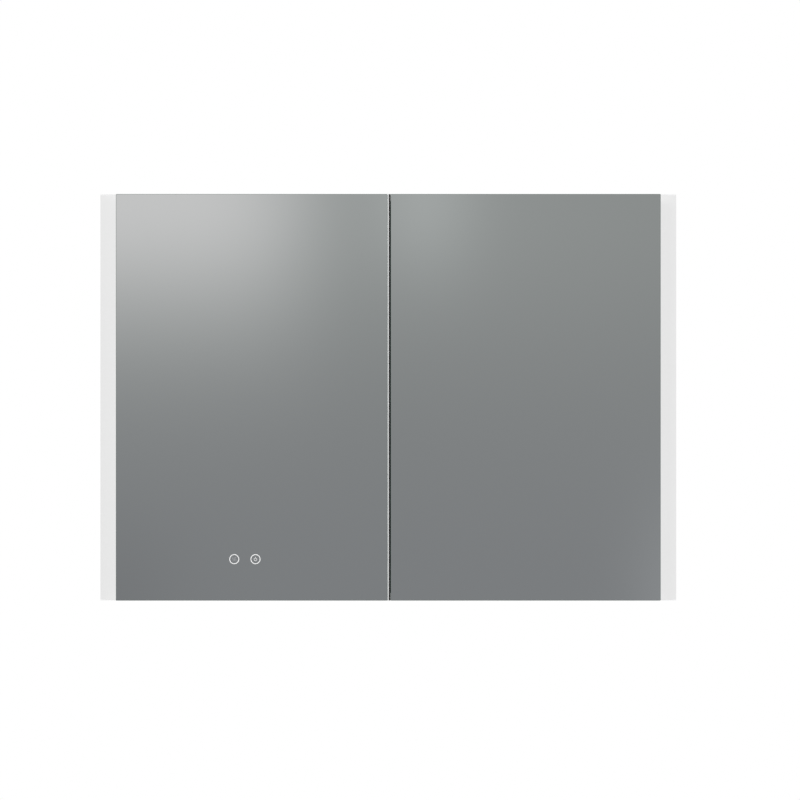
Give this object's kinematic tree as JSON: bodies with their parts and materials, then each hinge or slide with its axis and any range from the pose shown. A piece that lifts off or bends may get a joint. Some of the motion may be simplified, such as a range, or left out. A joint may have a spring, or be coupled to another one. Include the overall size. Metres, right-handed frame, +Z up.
{
  "type": "medicine cabinet with mirror",
  "caption": "Wall-hung mirror cabinet with two pivoting mirror doors between frosted light columns, glass shelves, mirror-lined back and touch rings.",
  "frame": {"origin": "middle of the case's lower back edge, on the wall plane", "axes": "+X to the right seen from in front, +Y into the wall, +Z up; the mirrors face -Y"},
  "size_m": [1, 0.145, 0.705],
  "materials": {
    "mirror_glass": "silvered float glass, polished",
    "case_board": "satin white lacquer on moisture-resistant board",
    "door_board": "satin light grey lacquer on moisture-resistant board",
    "clear_glass": "clear toughened glass with polished edges",
    "frosted_acrylic": "opal frosted acrylic",
    "anodised_aluminium": "satin natural anodised",
    "zinc_steel": "zinc-plated steel",
    "polished_pegs": "bright chrome",
    "cover_paint": "white powder coat on sheet aluminium",
    "cap_plastic": "satin moulded white plastic",
    "driver_plastic": "fine-textured moulded plastic",
    "terminal_plastic": "satin moulded plastic",
    "circuit_board": "white solder mask",
    "led_phosphor": "yellow phosphor in clear resin",
    "demister_foil": "printed heating foil",
    "sensor_plastic": "satin moulded plastic",
    "icon_enamel": "white fired enamel",
    "bush_nylon": "natural nylon",
    "bumper_silicone": "translucent silicone",
    "catch_plastic": "satin moulded plastic",
    "grommet_rubber": "black rubber",
    "seal_rubber": "soft black rubber lip"
  },
  "bodies": {
    "case": {"case_top": "case_board", "case_bottom": "case_board", "case_left_side": "case_board", "case_right_side": "case_board", "centre_divider": "case_board", "case_back": "case_board", "left_back_mirror": "mirror_glass", "right_back_mirror": "mirror_glass", "lower_left_shelf": "clear_glass", "upper_left_shelf": "clear_glass", "lower_right_shelf": "clear_glass", "upper_right_shelf": "clear_glass", "shelf_pegs": "polished_pegs", "wall_rail": "anodised_aluminium", "hanging_cleat": "anodised_aluminium", "left_light_channel": "anodised_aluminium", "right_light_channel": "anodised_aluminium", "left_led_board": "circuit_board", "right_led_board": "circuit_board", "left_led_chips": "led_phosphor", "right_led_chips": "led_phosphor", "left_light_diffuser": "frosted_acrylic", "right_light_diffuser": "frosted_acrylic", "left_light_caps": "cap_plastic", "right_light_caps": "cap_plastic", "led_driver": "driver_plastic", "electrics_cover": "cover_paint", "terminal_block": "terminal_plastic", "cable_grommet": "grommet_rubber", "upper_left_pivot_plate": "zinc_steel", "lower_left_pivot_plate": "zinc_steel", "upper_right_pivot_plate": "zinc_steel", "lower_right_pivot_plate": "zinc_steel", "pivot_pins": "zinc_steel", "left_magnet_catch": "catch_plastic", "right_magnet_catch": "catch_plastic", "pivot_plate_screws": "zinc_steel", "case_screws": "zinc_steel", "cleat_screws": "zinc_steel", "catch_screws": "zinc_steel", "cover_screws": "zinc_steel", "channel_screws": "zinc_steel"},
    "left_door": {"left_front_mirror": "mirror_glass", "left_door_core": "door_board", "left_inner_mirror": "mirror_glass", "left_edge_strip": "anodised_aluminium", "door_gap_seal": "seal_rubber", "left_demister_pad": "demister_foil", "touch_sensor": "sensor_plastic", "touch_icons": "icon_enamel", "left_pivot_bushes": "bush_nylon", "left_strike_plate": "zinc_steel", "left_door_bumpers": "bumper_silicone"},
    "right_door": {"right_front_mirror": "mirror_glass", "right_door_core": "door_board", "right_inner_mirror": "mirror_glass", "right_pivot_bushes": "bush_nylon", "right_strike_plate": "zinc_steel", "right_door_bumpers": "bumper_silicone"}
  },
  "joints": [
    {"name": "left_door_pivot", "type": "hinge", "parent": "case", "child": "left_door", "pos_m": [-0.4643, -0.134, 0], "axis": [0, 0, -1], "range_deg": [0, 100]},
    {"name": "right_door_pivot", "type": "hinge", "parent": "case", "child": "right_door", "pos_m": [0.4643, -0.134, 0], "axis": [0, 0, 1], "range_deg": [0, 100]}
  ]
}
